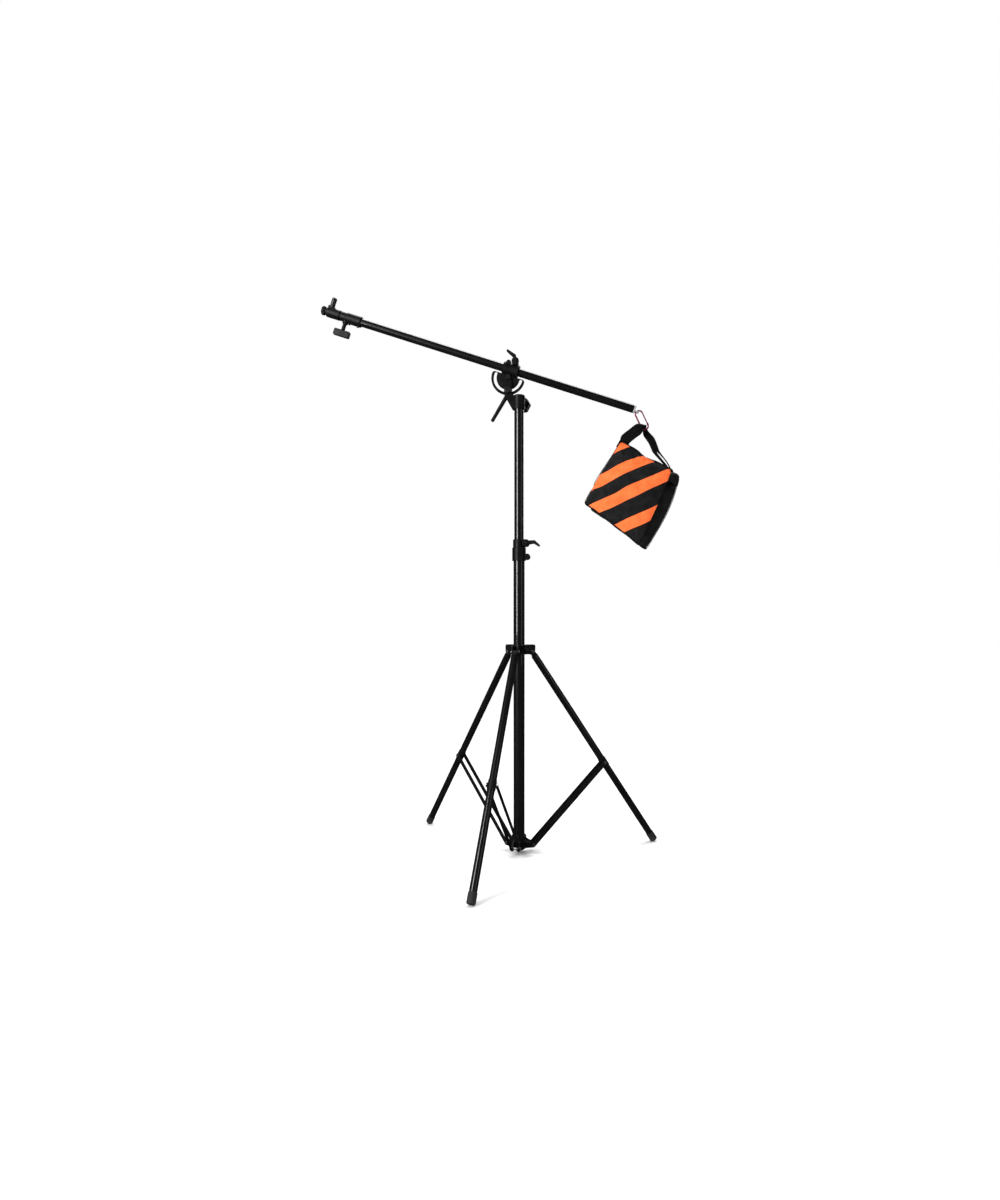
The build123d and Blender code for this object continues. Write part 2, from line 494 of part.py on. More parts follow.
def make_carabiner():
    frame = ring_frame()
    half = RING_W / 2
    top = Plane.XZ * CenterArc((0, -TOP_BEND), half, 0, 180)
    low = Plane.XZ * CenterArc((0, -LOW_BEND), half, 180, 180)
    side = Line((-half, 0, -TOP_BEND), (-half, 0, -LOW_BEND))
    path = Wire([top, side, low])
    wire = sweep(Plane(path @ 0, z_dir=path % 0) * Circle(RING_WIRE_R), path=path)
    for y0, y1 in ((-3.4, -2.3), (2.3, 3.4)):
        wire += Pos(half, 0, -GATE_HINGE) * along_y(rod(2.4, y0, y1))
        wire += slab([(half - 2, -LOW_BEND - 1), (half + 2, -LOW_BEND - 1), (half + 2, -GATE_HINGE),
                      (half - 2, -GATE_HINGE)], y0, y1)
    wire += slab([(half - 2, -LOW_BEND - 2), (half + 2, -LOW_BEND - 2), (half + 2, -LOW_BEND - 0.6),
                  (half - 2, -LOW_BEND - 0.6)], -3.4, 3.4)
    wire -= Pos(half, 0, -GATE_HINGE) * along_y(rod(0.9, -5, 5))
    pin = Pos(half, 0, -GATE_HINGE) * along_y(rod(0.9, -3.4, 3.4) + rod(1.6, -4, -3.4) + rod(1.6, 3.4, 4))
    keep("carabiner_frame", frame * wire, frame * pin)
    gate = rod(1.9, -GATE_HINGE, -GATE_END) + Pos(0, 0, -GATE_HINGE) * along_y(rod(2.1, -2.1, 2.1))
    gate -= Pos(0, 0, -GATE_HINGE) * along_y(rod(0.9 + RUN, -5, 5))
    keep("carabiner_gate", frame * Pos(half, 0, 0) * gate)


FRONT_POUCH = [(316.0, 1280.0), (470.0, 1186.0), (372.0, 955.0), (206.0, 1087.0)]
BACK_POUCH = [(334.0, 1272.0), (498.0, 1181.0), (402.0, 946.0), (226.0, 1079.0)]


def pouch(corners, y_mid):
    """A filled bag: thick in the middle, thin at its seams."""
    face = outline(corners)
    face = fillet(face.vertices(), 14.0)
    front = extrude(face, POUCH_T / 2, dir=(0, -1, 0), taper=POUCH_TAPER)
    back = mirror(front, about=Plane.XZ)
    return Pos(0, y_mid, 0) * (front + back)


def make_bag():
    y = (POUCH_T + POUCH_GAP) / 2
    keep("sand_pouch_front", pouch(FRONT_POUCH, -y))
    keep("sand_pouch_back", pouch(BACK_POUCH, y))
    # the panel over the tops of the pouches, cut to them
    top = slab([(322, 1276), (466, 1188), (455, 1168), (316, 1253)], -y + 6, y - 6)
    for name in ("sand_pouch_front", "sand_pouch_back"):
        for solid in NODES[name]:
            top -= solid
    keep("bag_bridge", top)
    half = WEBBING_T / 2
    bunch = (ring_frame() * Pos(0, 0, BUNCH_R + GAP + RING_WIRE_R - LOW_BEND - RING_W / 2)).position
    x, z = bunch.X, bunch.Z
    left = slab([(321, 1277), (322, 1299), (x - 20, z + 10), (x + 3, z + 4), (x + 3, z - 4),
                 (x - 3, z - 19), (354, 1278), (337, 1267)], -WEBBING_Y - half, -WEBBING_Y + half)
    right = [(x - 4, z + 4), (x + 9, z + 4), (425, 1302), (441, 1262), (463, 1214), (468, 1189),
             (453, 1198), (426, 1250), (410, 1288), (x - 2, z - 9)]
    right = slab(right, WEBBING_Y - half, WEBBING_Y + half)
    over = Pos(x, 0, z) * along_y(rod(BUNCH_R, -WEBBING_Y - half, WEBBING_Y + half))
    handle = left + right + over
    keep("bag_handle", handle - top)


def main():
    make_column()
    make_mid_clamp()
    make_leg_collar()
    for side, azimuth in LEG_AZIMUTHS.items():
        make_leg(side, azimuth)
        make_brace(side, azimuth)
    make_mast()
    make_head()
    make_boom_clamp()
    make_boom()
    make_inner_boom()
    make_carabiner()
    make_bag()
    os.makedirs("parts", exist_ok=True)
    for name, solids in NODES.items():
        shape = solids[0] if len(solids) == 1 else Compound(children=solids)
        export_step(shape, f"parts/{name}.step")


if __name__ == "__main__":
    main()
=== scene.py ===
"""Boom light stand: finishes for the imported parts, and the sand bag in sewn and stuffed fabric."""

import math

import bpy
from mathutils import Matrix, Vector, noise


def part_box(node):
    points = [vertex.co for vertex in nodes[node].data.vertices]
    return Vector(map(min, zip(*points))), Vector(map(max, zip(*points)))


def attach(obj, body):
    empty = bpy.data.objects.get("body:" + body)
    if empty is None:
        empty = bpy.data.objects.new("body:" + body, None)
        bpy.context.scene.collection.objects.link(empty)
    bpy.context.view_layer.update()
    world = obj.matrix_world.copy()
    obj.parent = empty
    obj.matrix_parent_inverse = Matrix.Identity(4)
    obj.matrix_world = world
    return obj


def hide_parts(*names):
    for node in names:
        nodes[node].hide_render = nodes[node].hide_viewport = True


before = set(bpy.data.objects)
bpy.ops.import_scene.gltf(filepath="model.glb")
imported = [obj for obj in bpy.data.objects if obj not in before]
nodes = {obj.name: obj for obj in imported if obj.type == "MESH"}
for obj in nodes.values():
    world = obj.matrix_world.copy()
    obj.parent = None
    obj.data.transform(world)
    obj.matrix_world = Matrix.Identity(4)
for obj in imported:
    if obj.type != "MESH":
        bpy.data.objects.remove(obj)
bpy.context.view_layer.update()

# ---- camera and studio ----
CAMERA_AT, CAMERA_TURN = (0.158, -2.264, 0.708), 4.0
LENS, SHIFT = 21.68, (-0.0158, 0.022)      # the sensor's 36 mm is the frame's long side

# ---- sand bag: corners as shares of each pouch's box, top left, top right, low right, low left ----
POUCH_CORNERS = ((0.417, 1.0), (1.0, 0.711), (0.629, 0.0), (0.0, 0.406))
POUCH_CELLS = (46, 50)                     # across and down
CORNER_REACH = 0.004                       # how far the sewn corners reach past the plain solid's round ones
STRIPE_ANGLE = 24.5                        # rise of the stripes from the horizontal, degrees
STRIPE_TOP = 1.0017                        # where the first black stripe begins, measured across the stripes
STRIPE_WIDTHS = (0.037, 0.033, 0.039, 0.036, 0.050, 0.033)   # black and orange in turn
BINDING_W, BINDING_LOW_W = 0.0011, 0.0032  # half widths of the edge binding, and of it along the bottom
STRAP_T = 0.0018
FRONT_BOW, BACK_BOW = 0.004, 0.015         # how far the right sides of the pouches bow out
STITCH_LIFT = 0.00105                      # from the middle of a binding to its face

# ---- handle: upper and lower edge of the webbing in the XZ plane, from the bunch over the carabiner ----
# each station: outer edge x, z; inner edge x, z; y; height of the pleats
LEFT_STRAP = (
    (-0.078, -0.0500, -0.054, -0.0680, -0.0080, 0.0),
    (-0.0775, -0.0400, -0.0495, -0.0540, -0.0110, 0.0),
    (-0.0720, -0.0265, -0.0420, -0.0465, -0.0120, 0.0002),
    (-0.0510, -0.0100, -0.0340, -0.0400, -0.0120, 0.0005),
    (-0.0300, 0.0060, -0.0235, -0.0320, -0.0118, 0.0010),
    (-0.0190, 0.0085, -0.0140, -0.0250, -0.0110, 0.0014),
    (-0.0090, 0.0075, -0.0065, -0.0140, -0.0095, 0.0022),
    (0.0025, 0.0040, -0.0050, -0.0022, -0.0045, 0.0026),
)
OVER_RING = (0.0052, 0.0024, -0.0048, -0.0022, 0.0015, 0.0028)
RIGHT_STRAP = (
    (0.0078, -0.0030, -0.0052, -0.0125, 0.0072, 0.0022),
    (0.0125, -0.0105, -0.0040, -0.0230, 0.0105, 0.0014),
    (0.0215, -0.0200, 0.0035, -0.0345, 0.0118, 0.0010),
    (0.0308, -0.0317, 0.0125, -0.0483, 0.0118, 0.0008),
    (0.0392, -0.0515, 0.0187, -0.0620, 0.0118, 0.0006),
    (0.0458, -0.0709, 0.0236, -0.0740, 0.0116, 0.0004),
    (0.0535, -0.0830, 0.0300, -0.0830, 0.0112, 0.0003),
    (0.0621, -0.0950, 0.0385, -0.0925, 0.0106, 0.0002),
    (0.0712, -0.1085, 0.0485, -0.1045, 0.0098, 0.0),
    (0.0775, -0.1205, 0.0580, -0.1165, 0.0088, 0.0),
    (0.0850, -0.1390, 0.0700, -0.1350, 0.0070, 0.0),
)
# where the right strap parts in two: the first ply ends and the second begins, as shares from the inner edge
PLY_ENDS = (0.62, 0.62, 0.62, 0.60, 0.60, 0.58, 0.52, 0.50, 0.52, 0.60, 0.66)
PLY_BEGINS = (0.50, 0.50, 0.50, 0.52, 0.54, 0.58, 0.70, 0.76, 0.78, 0.76, 0.72)
# stations of the bridge, counted along the pouches' seams from 0 at the left corner to 1 at the right and on
BRIDGE_STOPS = (-0.12, -0.06, 0.0, 0.12, 0.3, 0.5, 0.7, 0.88, 0.98, 1.04, 1.1, 1.16)
BRIDGE_LAP, BRIDGE_RISE = 0.0015, 0.001    # how far the bridge laps over each seam, and stands off it


# ---- material helpers ----
class Surface:
    """A Principled material with short ways to add the nodes of its detail."""

    def __init__(self, name, colour, roughness, metallic=0.0, **sockets):
        self.material = bpy.data.materials.new(name)
        self.material.use_nodes = True
        self.material.diffuse_color = (*colour, 1.0)
        self.tree = self.material.node_tree
        self.shader = self.tree.nodes["Principled BSDF"]
        self.shader.inputs["Base Color"].default_value = (*colour, 1.0)
        self.shader.inputs["Roughness"].default_value = roughness
        self.shader.inputs["Metallic"].default_value = metallic
        for socket, value in sockets.items():
            self.shader.inputs[socket.replace("_", " ")].default_value = value
        self.place = self.node("ShaderNodeTexCoord").outputs["Object"]
        self.relief = None

    def node(self, kind, sockets=None, **settings):
        made = self.tree.nodes.new(kind)
        for key, value in settings.items():
            setattr(made, key, value)
        for key, value in (sockets or {}).items():
            if isinstance(value, bpy.types.NodeSocket):
                self.tree.links.new(value, made.inputs[key])
            else:
                made.inputs[key].default_value = value
        return made

    def noise(self, scale, detail=3.0, place=None):
        sockets = {"Vector": place or self.place, "Scale": scale, "Detail": detail}
        return self.node("ShaderNodeTexNoise", sockets).outputs["Fac"]

    def cells(self, scale, place=None):
        sockets = {"Vector": place or self.place, "Scale": scale}
        return self.node("ShaderNodeTexVoronoi", sockets).outputs["Distance"]

    def math(self, operation, a, b=0.0):
        return self.node("ShaderNodeMath", {0: a, 1: b}, operation=operation).outputs["Value"]

    def spread(self, value, low, high, from_low=0.3, from_high=0.7):
        """Stretch a noise over a range of values."""
        sockets = {"Value": value, "From Min": from_low, "From Max": from_high, "To Min": low, "To Max": high}
        return self.node("ShaderNodeMapRange", sockets).outputs["Result"]

    def along(self, axis, length=0.12, width=0.0012):
        """Coordinates stretched along an axis, for marks drawn out along a tube."""
        turn = Vector(axis).to_track_quat("Z", "Y").to_euler()
        sockets = {"Vector": self.place, "Rotation": turn, "Scale": (width, width, length)}
        return self.node("ShaderNodeMapping", sockets, vector_type="TEXTURE").outputs["Vector"]

    def roughness(self, value):
        self.tree.links.new(value, self.shader.inputs["Roughness"])

    def mix(self, share, a, b):
        """Colour a where share is 0 and colour b where it is 1."""
        mixed = self.node("ShaderNodeMix", data_type="RGBA")
        self.tree.links.new(share, mixed.inputs["Factor"])
        for socket, colour in (("A", a), ("B", b)):
            slot = [s for s in mixed.inputs if s.name == socket and s.type == "RGBA"][0]
            if isinstance(colour, bpy.types.NodeSocket):
                self.tree.links.new(colour, slot)
            else:
                slot.default_value = (*colour, 1.0)
        return [s for s in mixed.outputs if s.type == "RGBA"][0]

    def colour(self, value):
        self.tree.links.new(value, self.shader.inputs["Base Color"])

    def bump(self, height, distance):
        """Add a layer of relief, in metres, over the ones before it."""
        sockets = {"Height": height, "Distance": distance}
        if self.relief is not None:
            sockets["Normal"] = self.relief
        self.relief = self.node("ShaderNodeBump", sockets).outputs["Normal"]
        self.tree.links.new(self.relief, self.shader.inputs["Normal"])


# ---- finishes ----
def gloss_tube(name, axis):
    """Black baked enamel on a tube, with faint marks drawn along it."""
    s = Surface(name, (0.003, 0.003, 0.0032), 0.3, Specular_IOR_Level=0.25, Coat_Weight=0.8)
    s.shader.inputs["Coat Roughness"].default_value = 0.05
    drawn = s.noise(1.0, 4.0, s.along(axis))
    s.roughness(s.spread(drawn, 0.24, 0.36))
    s.bump(s.noise(420.0, 2.0), 0.000015)
    s.bump(drawn, 0.000008)
    s.colour(s.mix(s.spread(s.noise(14.0), 0.0, 1.0), (0.002, 0.002, 0.0022), (0.0045, 0.0045, 0.0048)))
    return s.material


def cast_black():
    """Powder coat on castings: satin with a fine even grain."""
    s = Surface("cast_black", (0.004, 0.004, 0.0042), 0.34, Specular_IOR_Level=0.16)
    s.roughness(s.spread(s.noise(60.0), 0.33, 0.5))
    s.bump(s.noise(1500.0, 2.0), 0.00007)
    s.bump(s.noise(90.0, 2.0), 0.00005)
    s.colour(s.mix(s.spread(s.noise(35.0), 0.0, 1.0), (0.0025, 0.0025, 0.0026), (0.006, 0.006, 0.0062)))
    return s.material


def moulded_black():
    """Glass filled nylon with a spark eroded grain."""
    s = Surface("moulded_black", (0.004, 0.004, 0.004), 0.36, Specular_IOR_Level=0.18)
    s.roughness(s.spread(s.noise(45.0), 0.34, 0.5))
    s.bump(s.cells(1300.0), 0.00008)
    s.colour(s.mix(s.spread(s.noise(25.0), 0.0, 1.0), (0.0025, 0.0025, 0.0025), (0.0065, 0.0065, 0.0067)))
    return s.material


def strap_enamel(name, axis):
    """Black enamel on the pressed steel straps of the braces."""
    s = Surface(name, (0.003, 0.003, 0.0032), 0.3, Specular_IOR_Level=0.2)
    s.roughness(s.spread(s.noise(1.0, 3.0, s.along(axis, 0.05, 0.002)), 0.24, 0.42))
    s.bump(s.noise(500.0, 2.0), 0.00003)
    s.colour(s.mix(s.spread(s.noise(30.0), 0.0, 1.0), (0.003, 0.003, 0.0032), (0.007, 0.007, 0.0074)))
    return s.material


def foot_rubber():
    """Rubber of the foot caps, a little dusty towards the floor."""
    s = Surface("foot_rubber", (0.014, 0.014, 0.014), 0.72, Specular_IOR_Level=0.35)
    height = s.node("ShaderNodeSeparateXYZ", {"Vector": s.place}).outputs["Z"]
    low = s.spread(height, 1.0, 0.0, 0.0, 0.018)
    dust = s.math("MULTIPLY", low, s.spread(s.noise(120.0, 4.0), 0.0, 0.7, 0.35, 0.7))
    s.colour(s.mix(dust, (0.014, 0.014, 0.014), (0.09, 0.085, 0.08)))
    s.roughness(s.spread(s.noise(80.0), 0.62, 0.82))
    s.bump(s.noise(700.0, 3.0), 0.00012)
    return s.material


def zinc_steel():
    """Bright zinc plate on bolts, rivets and pins."""
    s = Surface("zinc_steel", (0.62, 0.63, 0.65), 0.28, 1.0)
    s.roughness(s.spread(s.noise(300.0), 0.2, 0.4))
    s.bump(s.noise(900.0, 2.0), 0.00003)
    s.colour(s.mix(s.spread(s.noise(150.0), 0.0, 1.0), (0.5, 0.51, 0.53), (0.72, 0.73, 0.74)))
    return s.material


def black_steel():
    """Black chromed steel of the stud and the tilt bolt."""
    s = Surface("black_steel", (0.03, 0.03, 0.032), 0.2, 0.75)
    s.roughness(s.spread(s.noise(180.0, 4.0), 0.14, 0.32))
    s.bump(s.noise(600.0, 2.0), 0.00002)
    s.colour(s.mix(s.spread(s.noise(60.0), 0.0, 1.0), (0.02, 0.02, 0.021), (0.05, 0.05, 0.053)))
    return s.material


def turned_aluminium():
    """Turned aluminium of the plug and eye at the boom's tail."""
    s = Surface("turned_aluminium", (0.45, 0.46, 0.47), 0.38, 0.35)
    s.roughness(s.spread(s.noise(1.0, 3.0, s.along((0.9464, 0, -0.3231), 0.0006, 0.02)), 0.2, 0.42))
    s.bump(s.noise(1.0, 2.0, s.along((0.9464, 0, -0.3231), 0.0005, 0.05)), 0.00003)
    s.colour(s.mix(s.spread(s.noise(90.0), 0.0, 1.0), (0.36, 0.37, 0.38), (0.52, 0.53, 0.54)))
    return s.material


def wine_anodised():
    """Wine red anodised aluminium of the carabiner, worn paler where it rubs."""
    s = Surface("wine_anodised", (0.16, 0.008, 0.035), 0.3, 0.4, Coat_Weight=0.1)
    wear = s.spread(s.noise(230.0, 4.0), 0.0, 1.0, 0.58, 0.72)
    tone = s.mix(s.spread(s.noise(40.0), 0.0, 1.0), (0.12, 0.004, 0.026), (0.2, 0.01, 0.05))
    s.colour(s.mix(wear, tone, (0.3, 0.1, 0.13)))
    s.roughness(s.spread(s.noise(200.0), 0.18, 0.36))
    s.bump(s.noise(500.0, 2.0), 0.00003)
    return s.material


def weave(s, pattern, pitch, depth):
    """Plain weave: threads that pass over and under each other, in the cloth's own coordinates."""
    split = s.node("ShaderNodeSeparateXYZ", {"Vector": pattern})
    turns = 2 * math.pi / pitch
    waves = [s.math("SINE", s.math("MULTIPLY", split.outputs[axis], turns)) for axis in ("X", "Y")]
    s.bump(s.math("MULTIPLY", *waves), depth)


def pattern_of(s, name="cloth"):
    return s.node("ShaderNodeAttribute", attribute_name=name).outputs["Vector"]


def fabric(name, striped):
    """Coated polyester cloth, black or with orange stripes."""
    s = Surface(name, (0.008, 0.008, 0.0085), 0.62, Specular_IOR_Level=0.12, Sheen_Weight=0.02)
    s.shader.inputs["Sheen Roughness"].default_value = 0.4
    cloth = pattern_of(s)
    black = s.mix(s.spread(s.noise(55.0, 4.0, cloth), 0.0, 1.0),
                  (0.005, 0.005, 0.0054), (0.012, 0.012, 0.0125))
    if striped:
        warm = s.mix(s.spread(s.noise(40.0, 5.0, cloth), 0.0, 1.0), (0.88, 0.13, 0.028), (1.0, 0.185, 0.048))
        across = s.node("ShaderNodeAttribute", attribute_name="stripe").outputs["Fac"]
        across = s.math("ADD", across, s.spread(s.noise(11.0, 1.0, cloth), -0.0025, 0.0025))
        share = s.spread(across, 0.0, 1.0, 0.0, sum(STRIPE_WIDTHS))
        ramp = s.node("ShaderNodeValToRGB", {"Fac": share})
        ramp.color_ramp.interpolation = "CONSTANT"
        edge = 0.0
        stops = ramp.color_ramp.elements
        stops.remove(stops[1])
        stops[0].position, stops[0].color = 0.0, (1, 1, 1, 1)
        for i, width in enumerate(STRIPE_WIDTHS):
            stop = stops.new(max(edge / sum(STRIPE_WIDTHS), 0.0005))
            level = float(i % 2)
            stop.color = (level, level, level, 1)
            edge += width
        stop = stops.new(0.9995)
        stop.color = (0, 0, 0, 1)
        front = s.node("ShaderNodeAttribute", attribute_name="outer").outputs["Fac"]
        orange = s.math("MULTIPLY", ramp.outputs["Color"], s.math("GREATER_THAN", front, 0.5))
        s.colour(s.mix(orange, black, warm))
    else:
        s.colour(black)
    s.roughness(s.spread(s.noise(70.0, 3.0, cloth), 0.52, 0.72))
    s.bump(s.noise(26.0, 4.0, cloth), 0.0011)
    s.bump(s.noise(110.0, 3.0, cloth), 0.00035)
    weave(s, cloth, 0.0011, 0.00009)
    return s.material


def webbing(name, tone=0.003):
    """Nylon webbing: ribs across the strap, and a twill between them, with painted shade in the grooves
    between the ribs and painted highlight on their crests.
    """
    s = Surface(name, (tone, tone, tone), 0.6, Specular_IOR_Level=0.12, Sheen_Weight=0.02)
    s.shader.inputs["Sheen Roughness"].default_value = 0.35
    cloth = pattern_of(s)
    split = s.node("ShaderNodeSeparateXYZ", {"Vector": cloth})
    rib_relief_and_shade = s.math("SINE", s.math("MULTIPLY", split.outputs["X"], 2 * math.pi / 0.0024))
    picks = s.math("SINE", s.math("MULTIPLY", s.math("ADD", split.outputs["Y"], split.outputs["X"]), 5200.0))
    s.bump(rib_relief_and_shade, 0.00022)
    s.bump(picks, 0.0001)
    s.roughness(s.spread(s.noise(90.0, 3.0, cloth), 0.5, 0.7))
    # painted shade and highlight: the colour follows the rib wave, darker in the grooves and lighter on the
    # crests
    s.colour(s.mix(s.spread(rib_relief_and_shade, 0.0, 1.0, -1.0, 1.0), (tone * 0.6,) * 3, (tone * 1.7,) * 3))
    return s.material


def paint(materials):
    """Give each CAD node its material."""
    for material, names in materials:
        for name in names:
            slots = nodes[name].material_slots
            if not slots:
                nodes[name].data.materials.append(material)
            for slot in nodes[name].material_slots:
                slot.material = material


SIDES = ("right", "left", "front")
LEG_AZIMUTHS = {"right": 18.6, "left": 138.6, "front": -101.4}
LEG_LEAN, BRACE_LEAN, BOOM_RISE = 33.81, 44.1, 18.85


def outward(azimuth, lean):
    """A direction that leans from the vertical towards an azimuth, in degrees."""
    a, b = math.radians(azimuth), math.radians(lean)
    return Vector((math.cos(a) * math.sin(b), math.sin(a) * math.sin(b), -math.cos(b)))


def finish_parts():
    cast, moulded, rubber = cast_black(), moulded_black(), foot_rubber()
    zinc, dark, bright, wine = zinc_steel(), black_steel(), turned_aluminium(), wine_anodised()
    boom_axis = (math.cos(math.radians(BOOM_RISE)), 0, -math.sin(math.radians(BOOM_RISE)))
    paint([
        (gloss_tube("column_enamel", (0, 0, 1)), ["lower_column", "upper_column"]),
        (gloss_tube("boom_enamel", boom_axis), ["boom_tube", "inner_tube"]),
        (cast, ["base_collar", "mid_clamp", "leg_collar", "head_socket", "head_bracket", "arc_plate",
                "boom_clamp", "boom_collar", "tip_block"]),
        (moulded, ["column_end_plug", "mid_clamp_liner", "base_collar_knob", "leg_collar_knob",
                   "mid_clamp_lever", "boom_clamp_lever", "upper_column_bush", "head_lock_knob",
                   "leg_collar_bush", "tilt_lever", "boom_clamp_liner", "tip_t_knob",
                   "inner_tube_bush", "tip_end_knob"]),
        (dark, ["stud", "tilt_bolts", "boom_collar_rivets", "mid_clamp_bolts", "boom_clamp_bolts"]),
        (zinc, ["brace_pins", "leg_hinge_pins"]),
        (bright, ["tail_plug", "tail_eye"]),
        (wine, ["carabiner_frame", "carabiner_gate"]),
    ])
    for side in SIDES:
        azimuth = LEG_AZIMUTHS[side]
        leg = gloss_tube(f"leg_enamel_{side}", outward(azimuth, LEG_LEAN))
        brace = strap_enamel(f"brace_enamel_{side}", -outward(azimuth + 180, BRACE_LEAN))
        paint([
            (leg, [f"leg_tube_{side}"]),
            (brace, [f"brace_straps_{side}"]),
            (moulded, [f"leg_fitting_{side}", f"brace_clip_{side}"]),
            (rubber, [f"foot_cap_{side}"]),
            (zinc, [f"brace_rivets_{side}"]),
        ])


# ---- mesh helpers ----
def mesh_piece(name, points, faces, material, smooth=True):
    mesh = bpy.data.meshes.new(name)
    mesh.from_pydata([tuple(p) for p in points], [], faces)
    mesh.update()
    piece = bpy.data.objects.new(name, mesh)
    bpy.context.scene.collection.objects.link(piece)
    mesh.materials.append(material)
    if smooth:
        for face in mesh.polygons:
            face.use_smooth = True
    return piece


def store(piece, name, values, kind="FLOAT"):
    """Keep a value for each point of a mesh, for its material to read."""
    attribute = piece.data.attributes.new(name, kind, "POINT")
    if kind == "FLOAT":
        attribute.data.foreach_set("value", values)
    else:
        attribute.data.foreach_set("vector", [x for v in values for x in v])


def smooth_line(stops, steps):
    """Points on a Catmull-Rom line through stops, which are vectors of any one length."""
    made = []
    last = len(stops) - 1
    for i in range(last):
        before, a, b, after = stops[max(i - 1, 0)], stops[i], stops[i + 1], stops[min(i + 2, last)]
        for k in range(steps):
            t = k / steps
            made.append([
                0.5 * (2 * q + (r - p) * t + (2 * p - 5 * q + 4 * r - w) * t**2
                       + (3 * q - p - 3 * r + w) * t**3)
                for p, q, r, w in zip(before, a, b, after)
            ])
    made.append(list(stops[-1]))
    return made


def modify(piece, kind, **settings):
    modifier = piece.modifiers.new(kind.title(), kind)
    for key, value in settings.items():
        setattr(modifier, key, value)
    return modifier


def apply_modifiers(piece):
    """Replace the piece's mesh with its evaluated one."""
    graph = bpy.context.evaluated_depsgraph_get()
    mesh = bpy.data.meshes.new_from_object(piece.evaluated_get(graph))
    old = piece.data
    piece.modifiers.clear()
    piece.data = mesh
    bpy.data.meshes.remove(old)


# ---- pouches ----
def pouch_corners(node):
    """The sewn corners in the XZ plane, in the order of POUCH_CORNERS."""
    low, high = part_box(node)
    middle = Vector(((low.x + high.x) / 2, (low.z + high.z) / 2))
    corners = []
    for share_x, share_z in POUCH_CORNERS:
        corner = Vector((low.x + share_x * (high.x - low.x), low.z + share_z * (high.z - low.z)))
        corners.append(corner + (corner - middle).normalized() * CORNER_REACH)
    return corners


def pouch_point(corners, u, v, bulge):
    """A point of the flat pattern: u across from the left side, v down from the top.
    bulge bows the right side."""
    top_left, top_right, low_right, low_left = corners
    top = top_left.lerp(top_right, u)
    low = low_left.lerp(low_right, u)
    point = top.lerp(low, v)
    side = (low - top).normalized()
    across = Vector((-side.y, side.x))
    # the right side bows out, the left side draws in above its flared corner
    bow = bulge * u**3 * math.sin(math.pi * v**0.8) - 0.006 * (1 - u) ** 3 * math.sin(math.pi * v**1.5)
    sag = 0.004 * math.sin(math.pi * u) * (1 - v)
    return point + across * bow - Vector((0, 1)) * sag


def fullness(u, v):
    """Share of the full thickness: nothing at the seams, most in the lower half where the sand lies."""
    across = 1 - abs(2 * u - 1) ** 2.6
    down = 1 - abs(2 * v**1.25 - 1) ** 2.6
    return math.sqrt(max(across, 0.0)) * math.sqrt(max(down, 0.0)) * (0.72 + 0.28 * v)


def make_pouch(name, node, outer, material, seed):
    """A stuffed pouch: two panels sewn together all round; outer is the side of its outer face, -1 or 1."""
    low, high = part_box(node)
    middle, half = (low.y + high.y) / 2, (high.y - low.y) / 2
    corners = pouch_corners(node)
    cols, rows = POUCH_CELLS
    slope = math.radians(STRIPE_ANGLE)
    points, cloth, stripe, face_side, index = [], [], [], [], {}
    for panel in (-1, 1):
        for j in range(rows + 1):
            for i in range(cols + 1):
                on_seam = i in (0, cols) or j in (0, rows)
                if on_seam and panel == 1:
                    index[panel, i, j] = index[-1, i, j]
                    continue
                u, v = i / cols, j / rows
                flat = pouch_point(corners, u, v, FRONT_BOW if outer < 0 else BACK_BOW)
                lift = fullness(u, v) * half * 0.78
                rough = 0.0016 * noise.noise(Vector((flat.x * 38, flat.y * 38, seed + panel)))
                points.append((flat.x, middle + panel * (lift + rough * (not on_seam)), flat.y))
                cloth.append((flat.x, flat.y, panel * 0.3 + seed))
                across = STRIPE_TOP - (flat.y * math.cos(slope) - flat.x * math.sin(slope))
                stripe.append(across)
                near_seam = outer > 0 and (i in (1, cols - 1) or j in (1, rows - 1))
                face_side.append(0.0 if panel != outer else 0.4 if near_seam else 1.0)
                index[panel, i, j] = len(points) - 1
    faces = []
    for panel in (-1, 1):
        for j in range(rows):
            for i in range(cols):
                ring = [index[panel, i, j], index[panel, i, j + 1],
                        index[panel, i + 1, j + 1], index[panel, i + 1, j]]
                faces.append(ring if panel == -1 else ring[::-1])
    pouch = mesh_piece(name, points, faces, material)
    store(pouch, "cloth", cloth, "FLOAT_VECTOR")
    store(pouch, "stripe", stripe)
    store(pouch, "outer", face_side)
    seam = [index[-1, i, 0] for i in range(cols)] + [index[-1, cols, j] for j in range(rows)]
    seam += [index[-1, i, rows] for i in range(cols, 0, -1)] + [index[-1, 0, j] for j in range(rows, 0, -1)]
    stuff(pouch, seam, [seam[0], seam[cols], seam[cols + rows], seam[2 * cols + rows]])
    modify(pouch, "SUBSURF", levels=1, render_levels=1)
    return pouch, seam


